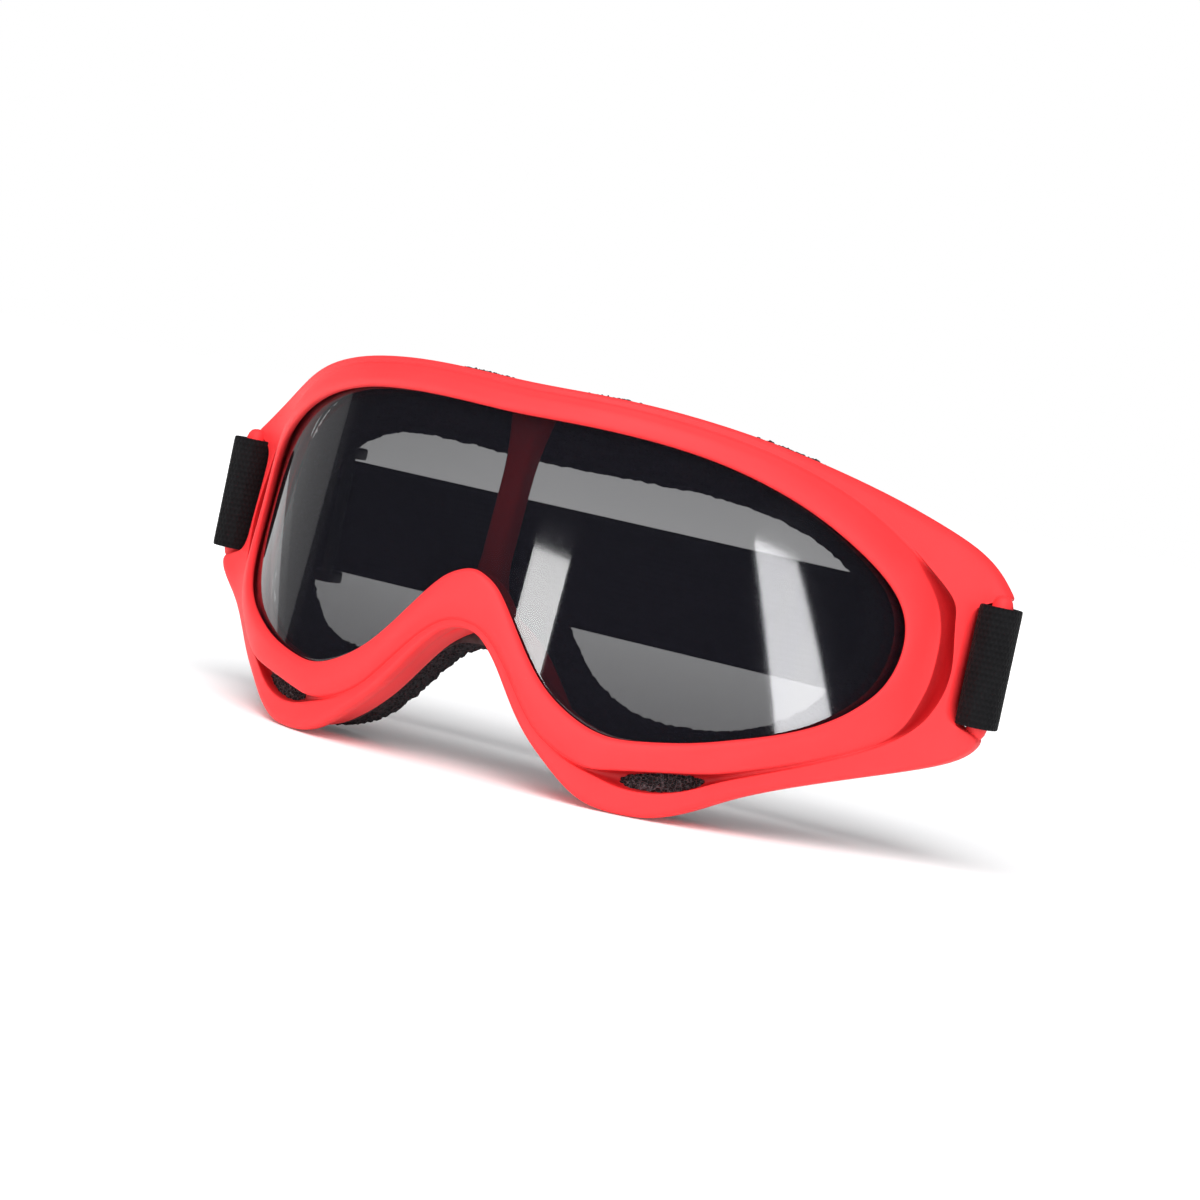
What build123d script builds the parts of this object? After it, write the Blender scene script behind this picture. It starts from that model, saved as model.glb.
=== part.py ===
from build123d import *
import math
import os

# Motorcycle goggles, millimetres, +Z up. The wearer looks along -Y and +X is to the right as seen from
# the front. The goggles stand on the two lobes under the eyes. Everything is drawn about the bridge
# point, which is the middle of the lens front, and moved at the end so that the box of the whole
# object is centred on X and Y and stands on Z = 0.

BRIDGE_HEIGHT = 41.0
BRIDGE_SETBACK = 32.85
FOOT_DEPTH = -BRIDGE_HEIGHT

# Lens: a bent sheet, part of a cylinder whose axis leans back at the top.
LENS_RADIUS = 86.0
LENS_THICKNESS = 2.0
LENS_LEAN = 6.5
LENS_LAP = 2.6
GROOVE_PLAY = 0.1

# Frame moulding.
RIM_PROUD = 2.2
RIM_DEPTH = 6.4
PLATE_SETBACK = 0.5
PLATE_DEPTH = 6.0
WALL = 2.6
FLANGE = 2.4
FLANGE_WIDTH = 5.0
VALLEY_LAP = 0.6

# Face side: the seat of the foam and the back of the foam are cylinders too.
SEAT_BRIDGE_Y = 16.0
SEAT_TEMPLE = (74.5, 50.5)
FOAM_BRIDGE_Y = 28.0
FOAM_TEMPLE = (74.5, 57.0)
TAPE_THICKNESS = 0.3

# Strap, its bars and its slots.
STRAP_WIDTH = 25.0
STRAP_THICKNESS = 1.6
STRAP_RAISE = 1.5
LAYER_GAP = 0.1
BAR_X = 90.2
BAR_Y = 56.4
BAR_RADIUS = 2.4
SLOT_X = 85.4
SLOT_HEIGHT = 27.0
LOOP_RADIUS = 3.6
BAND_Y = 63.3
LOOP_END_X = 80.0
BODY_GAP = 0.3
TAIL_LENGTH = 6.4

# Strap adjusters.
SLIDER_X = 73.0
SLIDER_LENGTH = 13.0
SLIDER_HEIGHT = 31.0
SLIDER_BAR = 2.4
SLIDER_SHEET = 1.4
SLIDER_REACH_BACK = 4.9

# Centre post between the two halves of the view.
POST_WIDTH = 5.4
POST_Y = (5.0, 11.0)
POST_Z = (-4.0, 33.0)

# The gap between the band and what slides on it, from the middle of the band.
STRAP_CLEAR = STRAP_THICKNESS / 2 + BODY_GAP

# Outlines seen from the front, right half only, from the top middle round to the nose.
APERTURE = [(0, 32.1), (22, 32.6), (42.4, 30.7), (60.4, 24), (74, 10.8), (75, -5), (67.4, -16),
            (55.4, -21.8), (43.8, -25.1), (32.1, -25.8), (20.4, -19.6), (12.2, -9.7), (6, -2), (0, 0.6)]
OUTLINE = [(0, 38.9), (25, 39.4), (47.8, 37.1), (66.5, 32), (79.2, 26.4), (87, 20.8), (91.4, 14.5),
           (92.6, 8), (92.6, -8), (91.2, -15), (86.6, -19.6), (76.6, -24.2), (62, -30.5), (52.5, -35.8),
           (40, FOOT_DEPTH - 0.3), (29.3, -38.9), (18, -29.8), (9.2, -18.1), (0, -11.9)]
SHELL = [(0, 38.2), (25, 38.7), (47.6, 36.3), (65, 31), (74.5, 22.5), (79.5, 8), (79.2, -8),
         (72.5, -22), (61.5, -29), (52, -34.8), (40, -39.9), (29.8, -38), (18.6, -29.3), (9.8, -17.4),
         (0, -11.2)]
RIM = [(0, 37.4), (25, 37.9), (47.4, 35.4), (62, 30.4), (74, 20.5), (80.7, 8), (81.2, -4),
       (77.5, -16), (66, -24.5), (54, -29.3), (43, -31.6), (32, -33.4), (19.8, -28.2),
       (10.6, -16.4), (0, -10.2)]
FOAM_OUTER = [(0, 36.5), (25, 37), (47.8, 34.8), (61, 29.8), (70.5, 20.5), (74.5, 8), (74.3, -8),
              (68.5, -20.5), (58, -28.8), (49.5, -35.6), (40, -39.6), (31, -38.2), (23, -32.5),
              (16.5, -24), (9, -17), (0, -15.4)]
FOAM_INNER = [(0, 22.2), (14, 22.3), (34.4, 20.1), (52, 15.4), (62, 9.2), (65.6, 0), (63.6, -10),
              (58, -17), (50, -21.2), (41, -23.2), (31, -22.6), (22, -17.6), (15, -9.5), (8, -1.5),
              (0, 1.5)]
CRESCENT_INNER = [(75.4, 19.5), (80.4, 9), (81.2, 0), (80.6, -7.5), (77, -17)]
CRESCENT_WIDTH = 2.6
CRESCENT_DEPTH = 3.2

# Vents.
LOWER_VENT_CENTRE = (43.6, -32.0)
LOWER_VENT_SIZE = (17.0, 4.6)
LOWER_VENT_SLANT = 10.0
TOP_VENT_SPANS = [(3, 24), (41, 58)]
TOP_VENT_FRONT = 5.4
TOP_VENT_SILL = 0.6
VENT_FOAM_DEPTH = 4.0
VENT_FOAM_PROUD = 0.8
VENT_FOAM_PLAY = 0.15

ALL_Z = 160.0
PRISM_Y = (-20.0, 66.0)

AWAY = Vector(0, 1, 0)


def widened(points, distance):
    """Move every point of a half outline outward along its normal by distance."""
    moved = []
    for index, (x, z) in enumerate(points):
        before = points[max(index - 1, 0)]
        after = points[min(index + 1, len(points) - 1)]
        dx = after[0] - before[0]
        dz = after[1] - before[1]
        if index in (0, len(points) - 1):
            side = 1 if index == 0 else -1
            moved.append((0, z + side * distance))
            continue
        length = math.hypot(dx, dz)
        moved.append((x - distance * dz / length, z + distance * dx / length))
    return moved


def face_of(points):
    """Close a right half outline with its mirror image, as a face seen from the front."""
    half = Spline(*[(x, 0, z) for x, z in points], tangents=[(1, 0, 0), (-1, 0, 0)])
    return make_face([half, mirror(half, about=Plane.YZ)])


def prism(points):
    """Run a front outline straight back, from before the rim to behind the foam."""
    return Pos(0, PRISM_Y[0], 0) * extrude(face_of(points), amount=PRISM_Y[1] - PRISM_Y[0], dir=AWAY)


def lens_cylinder(radius):
    """A cylinder that shares the lens axis."""
    centre = LENS_RADIUS / math.cos(math.radians(LENS_LEAN))
    return Pos(0, centre, 0) * Rot(-LENS_LEAN, 0, 0) * Cylinder(radius, ALL_Z)


def lean(shape):
    """Lean a shape back with the lens."""
    return Rot(-LENS_LEAN, 0, 0) * shape


def arc_radius(bridge_y, temple):
    """Radius of the plan arc through the bridge and both temples."""
    rise = temple[1] - bridge_y
    return (temple[0] ** 2 + rise ** 2) / (2 * rise)


def behind(bridge_y, temple, forward=0.0):
    """Everything on the face side of a plan arc, or of that arc moved forward."""
    radius = arc_radius(bridge_y, temple)
    return lean(Pos(0, bridge_y + radius, 0) * Cylinder(radius + forward, ALL_Z))


def plate_layer(setback, depth):
    """A layer that follows the front plate in plan, from the lens sweep out to the strap bars."""
    radius = LENS_RADIUS - PLATE_SETBACK
    turn_x = 68.0
    turn_y = LENS_RADIUS - math.sqrt(radius ** 2 - turn_x ** 2)
    slope = turn_x / (LENS_RADIUS - turn_y)
    flare = [(turn_x, turn_y), (82.4, 51.4), (87, 55.0), (BAR_X + 3, BAR_Y - 0.4)]
    sweep = ThreePointArc((-turn_x, turn_y), (0, PLATE_SETBACK), (turn_x, turn_y))
    right = Spline(*flare, tangents=[(1, slope), (1, 0.1)])
    front = [sweep, right, mirror(right, about=Plane.YZ)]
    back = [Pos(0, depth, 0) * edge for edge in front]
    end = Line((BAR_X + 3, BAR_Y - 0.4), (BAR_X + 3, BAR_Y - 0.4 + depth))
    plan = make_face(front + back + [end, mirror(end, about=Plane.YZ)])
    return lean(Pos(0, setback, -ALL_Z / 2) * extrude(plan, amount=ALL_Z, dir=(0, 0, 1)))


def slot_space():
    """The space beside one bar that the strap passes through."""
    size_x = 2 * (BAR_X - SLOT_X)
    return Pos(BAR_X, BAR_Y, STRAP_RAISE) * Box(size_x, 30, SLOT_HEIGHT)


def crescent_space():
    """The curved pocket between the rim and one wing."""
    inner = Spline(*[(x, 0, z) for x, z in CRESCENT_INNER])
    first, *middle, last = CRESCENT_INNER
    outer_points = [first] + [(x + CRESCENT_WIDTH, z) for x, z in middle] + [last]
    outer = Spline(*[(x, 0, z) for x, z in outer_points])
    face = make_face([inner, outer])
    tall = Pos(0, 30, 0) * extrude(face, amount=40, dir=AWAY)
    return tall - plate_layer(CRESCENT_DEPTH, 30)


def lower_vent(grow=0.0):
    """An eye-shaped prism with a nearly straight upper edge, for one lower vent."""
    length, height = LOWER_VENT_SIZE
    half = length / 2 + grow
    top = 0.8 + grow
    low = height - 0.8 + grow
    upper = ThreePointArc((-half, 0, 0), (0, 0, top), (half, 0, 0))
    lower = ThreePointArc((half, 0, 0), (0, 0, -low), (-half, 0, 0))
    eye = make_face([upper, lower])
    x, z = LOWER_VENT_CENTRE
    return Pos(x, 0, z) * Rot(0, -LOWER_VENT_SLANT, 0) * extrude(eye, amount=60, dir=AWAY)


def top_vent(span, heights, play=0.0):
    """A block between the front plate and the foam flange, over one span of X."""
    x_low, x_high = span[0] + play, span[1] - play
    z_low, z_high = heights
    middle = ((x_low + x_high) / 2, 35, (z_low + z_high) / 2)
    block = Pos(*middle) * Box(x_high - x_low, 80, z_high - z_low)
    layer = lens_cylinder(LENS_RADIUS - TOP_VENT_FRONT - play)
    return (layer & block) - behind(SEAT_BRIDGE_Y, SEAT_TEMPLE, FLANGE + TOP_VENT_SILL + play)


def both_sides(shape):
    """A shape and its mirror image."""
    return [shape, mirror(shape, about=Plane.YZ)]


def make_shell():
    """The side wall of the frame, open at the front, with the flange that carries the foam."""
    shell = prism(SHELL) & lens_cylinder(LENS_RADIUS - PLATE_SETBACK - 1)
    shell -= behind(SEAT_BRIDGE_Y, SEAT_TEMPLE)
    pocket = prism(widened(SHELL, -WALL)) - behind(SEAT_BRIDGE_Y, SEAT_TEMPLE, FLANGE)
    return shell - pocket - prism(widened(SHELL, -FLANGE_WIDTH))


def make_rim():
    """The raised rim round the lens, as far back as the foam seat."""
    front = lens_cylinder(LENS_RADIUS + RIM_PROUD)
    back = lens_cylinder(LENS_RADIUS + RIM_PROUD - RIM_DEPTH)
    return (prism(RIM) & (front - back)) - behind(SEAT_BRIDGE_Y, SEAT_TEMPLE, 1.0) - prism(APERTURE)


def make_plate():
    """The front plate outside the rim, with its wings, slots and crescent pockets."""
    plate = (prism(OUTLINE) & plate_layer(0, PLATE_DEPTH)) - prism(widened(APERTURE, LENS_LAP - VALLEY_LAP))
    plate -= behind(SEAT_BRIDGE_Y, SEAT_TEMPLE) & prism(widened(FOAM_OUTER, 0.5))
    for space in both_sides(slot_space()) + both_sides(crescent_space()):
        plate -= space
    return plate


def make_frame():
    """Rim, front plate with wings and bars, side wall, foam flange and centre post in one moulding."""
    post_middle = (0, sum(POST_Y) / 2, sum(POST_Z) / 2)
    post = Pos(*post_middle) * Box(POST_WIDTH, POST_Y[1] - POST_Y[0], POST_Z[1] - POST_Z[0])
    frame = make_rim() + make_plate() + make_shell() + lean(post)
    groove = prism(widened(APERTURE, LENS_LAP + GROOVE_PLAY)) & lens_cylinder(LENS_RADIUS + GROOVE_PLAY)
    frame -= groove - lens_cylinder(LENS_RADIUS - LENS_THICKNESS - GROOVE_PLAY)
    for bar in both_sides(Pos(BAR_X, BAR_Y, STRAP_RAISE) * Cylinder(BAR_RADIUS, SLOT_HEIGHT + 5)):
        frame += bar
    for vent in both_sides(lower_vent()):
        frame -= vent - lens_cylinder(LENS_RADIUS - 9)
    for span in TOP_VENT_SPANS:
        for vent in both_sides(top_vent(span, (30, 45))):
            frame -= vent
    floor = Pos(0, 0, FOOT_DEPTH - 10) * Box(2 * ALL_Z, 2 * ALL_Z, 20)
    return frame - floor


def make_lens():
    """The bent sheet, its edge sitting in the groove of the rim."""
    sheet = lens_cylinder(LENS_RADIUS) - lens_cylinder(LENS_RADIUS - LENS_THICKNESS)
    return prism(widened(APERTURE, LENS_LAP)) & sheet


def make_tape():
    """The adhesive ring on the flange."""
    ring = prism(FOAM_OUTER) - prism(widened(SHELL, -FLANGE_WIDTH))
    return (ring & behind(SEAT_BRIDGE_Y, SEAT_TEMPLE)) - behind(SEAT_BRIDGE_Y, SEAT_TEMPLE, -TAPE_THICKNESS)


def make_face_foam():
    """The padded ring, wider than its flange, with its back curved to the face."""
    ring = prism(FOAM_OUTER) - prism(FOAM_INNER)
    return (ring & behind(SEAT_BRIDGE_Y, SEAT_TEMPLE, -TAPE_THICKNESS)) - behind(FOAM_BRIDGE_Y, FOAM_TEMPLE)


def strap_path():
    """Middle line of the strap round one bar, in plan, from the front layer to the back layer."""
    turn = 2.4
    left = BAR_X - LOOP_RADIUS
    right = BAR_X + LOOP_RADIUS
    back_y = BAND_Y + STRAP_THICKNESS + LAYER_GAP
    bend_y = BAND_Y - turn
    swell = back_y - BAR_Y - 0.8
    small = turn * math.sqrt(0.5)
    large = swell * math.sqrt(0.5)
    swell_x = right - swell
    return [
        Line((LOOP_END_X, BAND_Y), (left - turn, BAND_Y)),
        ThreePointArc((left - turn, BAND_Y), (left - turn + small, bend_y + small), (left, bend_y)),
        Line((left, bend_y), (left, BAR_Y)),
        ThreePointArc((left, BAR_Y), (BAR_X, BAR_Y - LOOP_RADIUS), (right, BAR_Y)),
        Line((right, BAR_Y), (right, BAR_Y + 0.8)),
        ThreePointArc((right, BAR_Y + 0.8), (swell_x + large, BAR_Y + 0.8 + large), (swell_x, back_y)),
        Line((swell_x, back_y), (LOOP_END_X, back_y)),
    ]


def make_strap_loop():
    """The strap end that goes through the slot, round the bar and back."""
    flat = trace(Wire(strap_path()), line_width=STRAP_THICKNESS)
    return Pos(0, 0, STRAP_RAISE - STRAP_WIDTH / 2) * extrude(flat, amount=STRAP_WIDTH, dir=(0, 0, 1))


def make_band():
    """The elastic band that crosses behind the foam."""
    length = 2 * (LOOP_END_X - BODY_GAP)
    return Pos(0, BAND_Y, STRAP_RAISE) * Box(length, STRAP_THICKNESS, STRAP_WIDTH)


def make_slider():
    """One adjuster: two outer bars before the band, a middle bar behind it and two side rails."""
    front_y = BAND_Y - STRAP_CLEAR - SLIDER_SHEET
    back_y = BAND_Y + STRAP_CLEAR + SLIDER_REACH_BACK
    rail = (SLIDER_HEIGHT - STRAP_WIDTH - 2 * BODY_GAP) / 2
    body = Pos(0, (front_y + back_y) / 2, 0) * Box(SLIDER_LENGTH, back_y - front_y, SLIDER_HEIGHT)
    body = fillet(body.edges().filter_by(Axis.Y), 2.0)
    body -= Pos(0, (front_y + back_y) / 2, 0) * Box(40, back_y - front_y + 2, SLIDER_HEIGHT - 2 * rail)
    reach = SLIDER_HEIGHT - rail
    for side in (-1, 1):
        x = side * (SLIDER_LENGTH - SLIDER_BAR) / 2
        body += Pos(x, front_y + SLIDER_SHEET / 2, 0) * Box(SLIDER_BAR, SLIDER_SHEET, reach)
    body += Pos(0, back_y - SLIDER_BAR, 0) * Box(SLIDER_BAR, SLIDER_SHEET, reach)
    return Pos(SLIDER_X, 0, STRAP_RAISE) * body


def make_strap_end():
    """The outer layer between loop and adjuster, its end folded round the middle bar and sewn down."""
    layer_y = BAND_Y + STRAP_CLEAR + STRAP_THICKNESS / 2
    bar_y = BAND_Y + STRAP_CLEAR + SLIDER_REACH_BACK - SLIDER_BAR
    tail_y = layer_y + STRAP_THICKNESS + LAYER_GAP
    start = LOOP_END_X - BODY_GAP
    run = Pos((start + SLIDER_X) / 2, layer_y, 0) * Box(start - SLIDER_X, STRAP_THICKNESS, STRAP_WIDTH)
    fold = Pos(SLIDER_X, bar_y, 0) * Box(SLIDER_BAR + 3.0, SLIDER_SHEET + 3.0, STRAP_WIDTH)
    fold = fillet(fold.edges().filter_by(Axis.Z), 1.4)
    tail = Pos(SLIDER_X + TAIL_LENGTH / 2, tail_y, 0) * Box(TAIL_LENGTH, STRAP_THICKNESS, STRAP_WIDTH)
    hole = Pos(SLIDER_X, bar_y, 0) * Box(SLIDER_BAR + 0.2, SLIDER_SHEET + 0.2, STRAP_WIDTH + 2)
    joined = Pos(SLIDER_X + TAIL_LENGTH - 1, layer_y + 0.8, 0) * Box(1.6, 1.6, STRAP_WIDTH - 2)
    return Pos(0, 0, STRAP_RAISE) * ((run + fold + tail + joined) - hole)


def make_stitching():
    """Two rows of stitches that hold the folded strap end, standing on its back."""
    back_face = BAND_Y + STRAP_CLEAR + 2 * STRAP_THICKNESS + LAYER_GAP
    stitches = []
    for row_x in (SLIDER_X + 4.6, SLIDER_X + 6.4):
        for index in range(9):
            z = STRAP_RAISE + (index - 4) * 2.6
            stitches.append(Pos(row_x, back_face + 0.15, z) * Box(0.6, 0.3, 1.9))
    return Compound(children=stitches)


def make_lower_vent_foam():
    """Open-cell pad behind one lower vent."""
    pad = lower_vent(grow=-0.3)
    front = lens_cylinder(LENS_RADIUS - 1.6)
    return pad & (front - lens_cylinder(LENS_RADIUS - 1.6 - VENT_FOAM_DEPTH))


def make_top_vent_foam():
    """Open-cell strip under both upper vents of one side, standing a little out of each."""
    low, high = TOP_VENT_SPANS[0][0] - 2, TOP_VENT_SPANS[1][1] - 1
    strip = prism(widened(SHELL, -WALL - 0.1)) - prism(widened(SHELL, -WALL - VENT_FOAM_DEPTH))
    strip = (strip & top_vent((low, high), (20, 45))) - plate_layer(0, PLATE_DEPTH + 0.1)
    crown = prism(widened(SHELL, VENT_FOAM_PROUD)) - prism(widened(SHELL, -WALL - 0.6))
    for span in TOP_VENT_SPANS:
        strip += (crown & top_vent(span, (30, 45), VENT_FOAM_PLAY)) - plate_layer(0, PLATE_DEPTH + 0.1)
    return strip


def save(name, shape):
    """Move one node to the object's frame and write it."""
    placed = Pos(0, -BRIDGE_SETBACK, BRIDGE_HEIGHT) * shape
    placed.label = name
    export_step(placed, f"parts/{name}.step")


def save_pair(name, shape):
    """Write one right-hand piece and its left-hand mirror image."""
    save(f"{name}_right", shape)
    save(f"{name}_left", mirror(shape, about=Plane.YZ))


def main():
    os.makedirs("parts", exist_ok=True)
    save("frame", make_frame())
    save("lens", make_lens())
    save("foam_tape", make_tape())
    save("face_foam", make_face_foam())
    save("strap_band", make_band())
    save_pair("strap_loop", make_strap_loop())
    save_pair("strap_end", make_strap_end())
    save_pair("end_stitching", make_stitching())
    save_pair("slider", make_slider())
    save_pair("lower_vent_foam", make_lower_vent_foam())
    save_pair("top_vent_foam", make_top_vent_foam())


main()
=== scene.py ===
import math

import bmesh
import bpy
from mathutils import Matrix, Vector, noise


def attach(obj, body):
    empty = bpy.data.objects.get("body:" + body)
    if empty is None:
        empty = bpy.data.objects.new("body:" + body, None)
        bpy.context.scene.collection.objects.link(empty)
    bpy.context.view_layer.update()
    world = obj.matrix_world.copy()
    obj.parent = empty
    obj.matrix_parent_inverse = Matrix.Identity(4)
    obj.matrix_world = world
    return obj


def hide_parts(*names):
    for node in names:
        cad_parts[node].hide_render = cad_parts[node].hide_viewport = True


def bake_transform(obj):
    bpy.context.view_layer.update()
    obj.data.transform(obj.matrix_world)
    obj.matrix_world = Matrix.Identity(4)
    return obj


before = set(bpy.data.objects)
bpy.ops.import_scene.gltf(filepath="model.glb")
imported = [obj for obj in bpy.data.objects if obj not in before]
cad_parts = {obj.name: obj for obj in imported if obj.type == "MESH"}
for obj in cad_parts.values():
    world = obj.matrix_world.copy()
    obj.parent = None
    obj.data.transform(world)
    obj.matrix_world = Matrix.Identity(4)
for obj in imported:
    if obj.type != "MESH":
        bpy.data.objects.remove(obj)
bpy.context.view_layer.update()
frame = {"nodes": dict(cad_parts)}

bl_info = {
    "name": "Riding Goggles",
    "version": (1, 0, 0),
    "blender": (4, 5, 0),
    "location": "View3D > Sidebar > Goggles",
    "description": "Builds motorcycle goggles with a bent lens, face foam and elastic strap",
    "category": "Add Mesh",
}

MM = 0.001
BRIDGE_HEIGHT = 41.0
BRIDGE_SETBACK = 32.85
LEAN = math.radians(6.5)
LENS_RADIUS = 86.0
PLATE_RADIUS = 85.5
SEAT = (16.0, 97.7)
FOAM_BACK = (28.0, 110.2)
TURN_X = 68.0
STRAP_Z = 1.5
BAR = (90.2, 56.4)
BAND_Y = 63.3
BAND_END = 79.7
SLIDER_X = 73.0
LOWER_VENT = (43.6, -33.5)
TOP_VENTS = ((3.4, 23.6), (41.4, 57.6))

# How far back the lip behind the lens groove may reach at the temples.
LIP_LIMIT = 58.4

# The loops of the frame section that form the wall and floor of the valley outside the rim, which are
# painted with darker shade.
VALLEY_LOOP = 10

# Where the lights and the mirrored cards are aimed, and how far away they stand, in metres.
LIGHT_TARGET_Y = 20.0
STRIP_DISTANCE = 1.6

APERTURE = [(0, 32.1), (22, 32.6), (42.4, 30.7), (60.4, 24), (74, 10.8), (75, -5), (67.4, -16),
            (55.4, -21.8), (43.8, -25.1), (32.1, -25.8), (20.4, -19.6), (12.2, -9.7), (6, -2), (0, 0.6)]
RIM = [(0, 37.4), (25, 37.9), (47.4, 35.4), (62, 30.4), (71, 23.8), (75.4, 19.2), (80.2, 10),
       (81.2, 0), (80.4, -8), (77, -16.8), (66, -24.2), (57, -28), (52.6, -29.6), (43.6, -31.2),
       (34.6, -32.8), (31.6, -33.2), (27, -31.9), (19.8, -28), (10.6, -16.4), (4.6, -11.2), (0, -10.2)]
SHELL = [(0, 38.2), (25, 38.7), (47.6, 36.3), (65, 31), (74.5, 22.5), (79.5, 8), (79.2, -8),
         (72.5, -22), (61.5, -29), (52, -34.8), (40, -39.9), (29.8, -38), (18.6, -29.3), (9.8, -17.4),
         (0, -11.2)]

# One row for each station round the right half of the frame, from the brow to the nose: a point near
# the lens opening, one near the outer edge of the rim, the width and depth of the valley outside the
# rim, a point of the outer edge, and one near the side wall.
FRAME_ROWS = [
    ((0, 32.1), (0, 37.4), 0.3, 0.0, (0, 38.9), (0, 38.2)),
    ((11, 32.5), (12, 37.8), 0.3, 0.0, (12.5, 39.3), (12.5, 38.6)),
    ((22, 32.6), (24, 37.9), 0.3, 0.0, (25, 39.4), (25, 38.7)),
    ((33, 32.1), (36, 37.1), 0.3, 0.0, (37, 38.6), (37, 37.9)),
    ((42.4, 30.7), (46.5, 35.6), 0.3, 0.0, (47.8, 37.1), (47.6, 36.3)),
    ((52, 27.9), (57, 32.4), 0.3, 0.0, (58.5, 34.6), (57.5, 33.8)),
    ((60.4, 24), (65.6, 28.4), 0.4, 0.0, (69, 31.2), (66, 30.3)),
    ((67.2, 19.2), (71.8, 23), 0.5, 0.0, (78.6, 26.8), (72.5, 25)),
    ((70, 16.6), (74, 20.8), 0.5, 0.1, (83.4, 24), (74.4, 22.6)),
    ((71.8, 14.4), (75.9, 18.4), 1.0, 1.6, (87.2, 20.7), (76, 20)),
    ((73.4, 11.8), (77.6, 15.4), 2.0, 4.0, (90.2, 17), (77.6, 16)),
    ((74.8, 8.8), (79.4, 11.8), 2.6, 4.8, (91.7, 15.2), (78.8, 11.8)),
    ((75.9, 5.4), (80.6, 7.4), 2.8, 5.0, (85.6, 14.8), (79.4, 8.4)),
    ((76.5, 2), (81.1, 3.2), 2.8, 5.0, (85.2, 8), (79.7, 4.5)),
    ((76.6, -1.4), (81.2, -1), 2.8, 5.0, (85.2, 0), (79.7, 0.5)),
    ((75.9, -4.4), (80.9, -5), 2.7, 5.0, (85.2, -6), (79.6, -4)),
    ((74.6, -7.4), (80.2, -8.8), 2.4, 4.8, (85.6, -11.8), (79.2, -8)),
    ((73, -10), (79.2, -12), 2.0, 4.0, (91.8, -12.2), (78.3, -11.5)),
    ((71.2, -12.4), (78.1, -14.6), 1.3, 2.4, (91.4, -15.2), (77, -15)),
    ((69.4, -14.4), (76.8, -17), 0.8, 0.6, (88.4, -18.5), (75.4, -18.3)),
    ((66, -17), (72.8, -20.6), 0.8, 0.1, (82.6, -21.6), (72.5, -22)),
    ((61, -19.7), (66, -24.2), 0.9, 0.3, (73.6, -25.4), (67.5, -26)),
    ((56.2, -21.6), (59.2, -27.2), 1.1, 0.7, (63.6, -29.8), (61.5, -29)),
    ((52.6, -22.9), (54.6, -28.9), 1.2, 1.2, (57.4, -33), (56.4, -32)),
    ((50.2, -23.6), (51.8, -29.8), 2.0, 3.4, (53.6, -35.4), (53.4, -33.9)),
    ((47.2, -24.4), (48.4, -30.4), 3.6, 4.2, (49.2, -38.4), (49.5, -36.3)),
    ((43.8, -25.1), (44, -31.2), 4.4, 4.4, (43.8, -40.8), (44.5, -38.9)),
    ((39.8, -25.6), (39.6, -31.9), 3.8, 4.2, (38.8, -41), (38.6, -40.1)),
    ((36.6, -25.9), (35.8, -32.6), 2.4, 3.4, (34.6, -40.8), (34.8, -39.8)),
    ((33.6, -25.9), (33, -33), 0.9, 1.2, (30.8, -39.7), (31.2, -38.8)),
    ((30, -25.4), (29.6, -32.8), 0.5, 0.3, (27.2, -37.5), (27.6, -36.8)),
    ((25.4, -23.6), (25, -31), 0.3, 0.0, (22.9, -34), (23.4, -33.6)),
    ((20.4, -19.6), (19.8, -28), 0.3, 0.0, (18, -29.8), (18.6, -29.3)),
    ((16, -14.4), (14.9, -22.6), 0.3, 0.0, (13.4, -24.2), (14, -23.4)),
    ((12.2, -9.7), (10.6, -16.4), 0.3, 0.0, (9.2, -18.1), (9.8, -17.4)),
    ((9, -5.4), (7.2, -13), 0.3, 0.0, (6.2, -14.8), (6.8, -14.1)),
    ((6, -2), (4.6, -11.2), 0.3, 0.0, (4, -12.9), (4.4, -12.2)),
    ((3, 0), (2.2, -10.4), 0.3, 0.0, (2, -12.1), (2.2, -11.4)),
    ((0, 0.6), (0, -10.2), 0.3, 0.0, (0, -11.9), (0, -11.2)),
]

# Matching points of the foam ring's outer and inner edge, and how much its back is cut away inside.
FOAM_ROWS = [
    ((0, 36.5), (0, 23.4), 0), ((14, 37), (14, 23.9), 0), ((27, 36.9), (26, 24.2), 0),
    ((40, 35.8), (38, 24), 0), ((49.5, 34.3), (48, 22.4), -0.5), ((58, 31.2), (57, 19.6), -2),
    ((66, 25.6), (64, 15.4), -4), ((71.8, 17.6), (67.8, 9.8), -6.5), ((74.3, 9.4), (69.2, 4), -7.5),
    ((74.8, 0), (69.2, -3), -7.5), ((74, -9), (67.8, -9), -7), ((70.8, -17), (64.8, -13.8), -5),
    ((65, -24), (59.6, -17.8), -3), ((57, -29.4), (53.4, -20.8), -1.5), ((50.5, -34.8), (47, -22.4), 0),
    ((44.5, -38.5), (41, -23.2), 0), ((38, -39.9), (35.4, -23.2), 0.5), ((31, -38.4), (29.6, -22.1), 1),
    ((24.7, -34.7), (24.4, -19.4), 2), ((19.5, -29.1), (20, -15.6), 3.5),
    ((16, -24.3), (16.4, -11.4), 4.5), ((12.1, -19.9), (12.6, -6.4), 4.5), ((8.6, -17.3), (8.6, -2.2), 3),
    ((4.5, -15.9), (4.3, 0.8), 1.5), ((0, -15.6), (0, 1.5), 1),
]

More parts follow.
